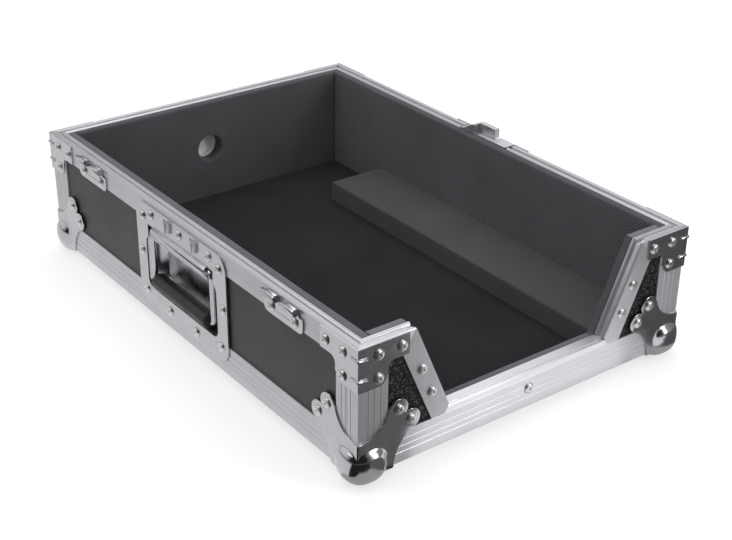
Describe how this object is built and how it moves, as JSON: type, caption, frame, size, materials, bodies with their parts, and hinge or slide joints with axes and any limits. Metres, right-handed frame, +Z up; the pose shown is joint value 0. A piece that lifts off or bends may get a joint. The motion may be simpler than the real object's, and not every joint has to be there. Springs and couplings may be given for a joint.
{
  "type": "flight case base for a disc player",
  "caption": "Shallow rectangular equipment case base with aluminium edge profiles, a low front cut-out, ball corners, recessed handle, latch, lift-off hinge halves and foam lining.",
  "frame": {"origin": "on the floor under the middle of the case, which stands on its four ball corners", "axes": "+Z up, -Y towards the front cut-out, -X the handle and hinge side, +X the latch side"},
  "size_m": [0.389, 0.561, 0.1459],
  "materials": {
    "laminate": "dark textured laminate over plywood",
    "profile": "satin extruded",
    "plated_steel": "bright zinc or nickel plate",
    "rivet_metal": "bright",
    "grip_rubber": "matt moulded",
    "foam": "matt fine-celled foam",
    "cap_plastic": "matt"
  },
  "bodies": {
    "case": {"base_panel": "laminate", "left_panel": "laminate", "right_panel": "laminate", "back_panel": "laminate", "front_panel": "laminate", "base_profile_left": "profile", "base_profile_right": "profile", "base_profile_front": "profile", "base_profile_back": "profile", "corner_profile_front_left": "profile", "corner_profile_front_right": "profile", "corner_profile_back_left": "profile", "corner_profile_back_right": "profile", "rim_left": "profile", "rim_right": "profile", "rim_back": "profile", "rim_front_left": "profile", "rim_front_right": "profile", "slant_trim_left": "profile", "slant_trim_right": "profile", "sill_trim": "profile", "brace_front_left": "plated_steel", "brace_front_right": "plated_steel", "brace_back_left": "plated_steel", "brace_back_right": "plated_steel", "ball_corner_front_left": "plated_steel", "ball_corner_front_right": "plated_steel", "ball_corner_back_left": "plated_steel", "ball_corner_back_right": "plated_steel", "hinge_leaf_front": "plated_steel", "hinge_leaf_back": "plated_steel", "hinge_pins_front": "plated_steel", "hinge_pins_back": "plated_steel", "handle_dish": "plated_steel", "handle_spring_front": "plated_steel", "handle_spring_back": "plated_steel", "latch_dish": "plated_steel", "lining_left": "foam", "lining_right": "foam", "lining_back": "foam", "lining_front_left": "foam", "lining_front_right": "foam", "lining_sill": "foam", "floor_foam": "foam", "support_block_left": "foam", "support_block_right": "foam", "brace_rivets": "rivet_metal", "ball_corner_rivets": "rivet_metal", "hinge_rivets": "rivet_metal", "handle_rivets": "rivet_metal", "latch_rivets": "rivet_metal", "trim_rivets": "rivet_metal"},
    "handle": {"handle_bail": "plated_steel", "handle_grip": "grip_rubber"},
    "latch_cam": {"latch_cam": "plated_steel"},
    "latch_wing_front": {"latch_wing_front": "plated_steel"},
    "latch_wing_back": {"latch_wing_back": "plated_steel"},
    "latch_claw": {"latch_claw": "plated_steel"},
    "cable_cap": {"cable_port_cap": "cap_plastic"}
  },
  "joints": [
    {"name": "handle_swing", "type": "hinge", "parent": "case", "child": "handle", "pos_m": [-0.1863, 0.0035, 0.1054], "axis": [0, 1, 0], "range_deg": [0, 100], "stiffness_Nm_per_rad": 0.12},
    {"name": "latch_turn", "type": "hinge", "parent": "case", "child": "latch_cam", "pos_m": [0.1831, -0.003, 0.0844], "axis": [1, 0, 0], "range_deg": [0, 180]},
    {"name": "latch_wing_front_fold", "type": "hinge", "parent": "latch_cam", "child": "latch_wing_front", "pos_m": [0.1881, -0.003, 0.0844], "axis": [0, 0, 1], "range_deg": [0, 75]},
    {"name": "latch_wing_back_fold", "type": "hinge", "parent": "latch_cam", "child": "latch_wing_back", "pos_m": [0.1881, -0.003, 0.0844], "axis": [0, 0, -1], "range_deg": [0, 75]},
    {"name": "latch_claw_drop", "type": "slide", "parent": "case", "child": "latch_claw", "axis": [0, 0, -1], "range_m": [0, 0.012]},
    {"name": "cable_cap_pull", "type": "slide", "parent": "case", "child": "cable_cap", "axis": [0, 1, 0], "range_m": [0, 0.03]}
  ],
  "couplings": [
    {"joint": "latch_turn", "follows": "latch_claw_drop", "rad_per_m": 261.79}
  ]
}
